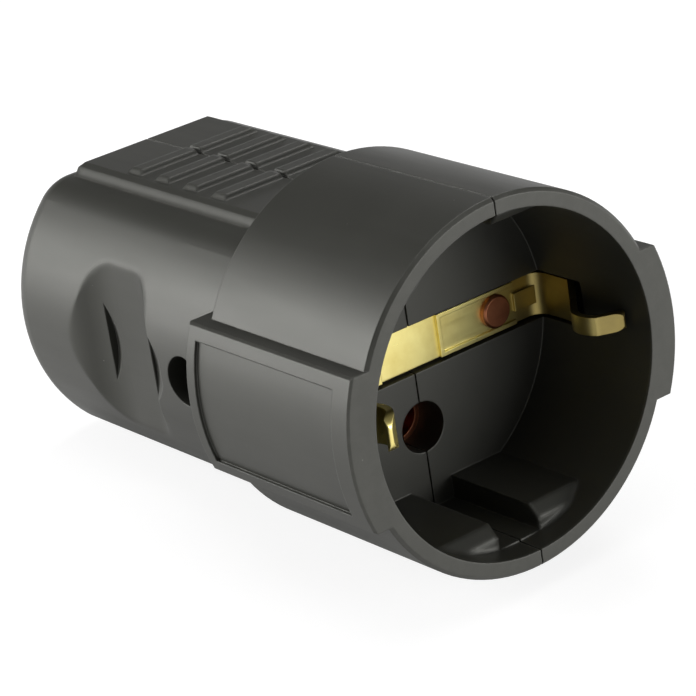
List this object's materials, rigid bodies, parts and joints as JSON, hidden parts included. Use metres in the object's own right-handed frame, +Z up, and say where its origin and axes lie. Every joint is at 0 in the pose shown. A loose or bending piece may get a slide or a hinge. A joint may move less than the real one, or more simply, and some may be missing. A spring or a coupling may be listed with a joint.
{
  "type": "inline socket connector",
  "caption": "Inline mains socket with a round plug recess, sprung side earth contacts, ribbed flats, scooped finger grips and a split plastic casing held by a screw.",
  "frame": {"origin": "centre of the socket mouth, in the plane of its rim", "axes": "+X out of the mouth along the socket's axis, +Z up through the upper ribbed flat, -Y the half shell with the screw recess"},
  "size_m": [0.07, 0.047, 0.0434],
  "materials": {
    "casing": "satin moulded, dark olive black",
    "strip_brass": "bright rolled",
    "rivet_copper": "dull copper plated",
    "contact_brass": "reddish, drawn",
    "screw_steel": "zinc plated",
    "spring_steel": "bright spring steel",
    "clamp_plastic": "plain moulded"
  },
  "bodies": {
    "root": {"near_shell": "casing", "far_shell": "casing", "earth_strip": "strip_brass", "earth_rivet": "rivet_copper", "earth_terminal": "contact_brass", "earth_terminal_screw": "screw_steel", "housing_screw": "screw_steel", "housing_nut": "screw_steel", "cord_clamp": "clamp_plastic", "cord_clamp_screws": "screw_steel", "upper_contact": "contact_brass", "upper_contact_clip": "spring_steel", "upper_terminal_screw": "screw_steel", "lower_contact": "contact_brass", "lower_contact_clip": "spring_steel", "lower_terminal_screw": "screw_steel"}
  },
  "joints": []
}
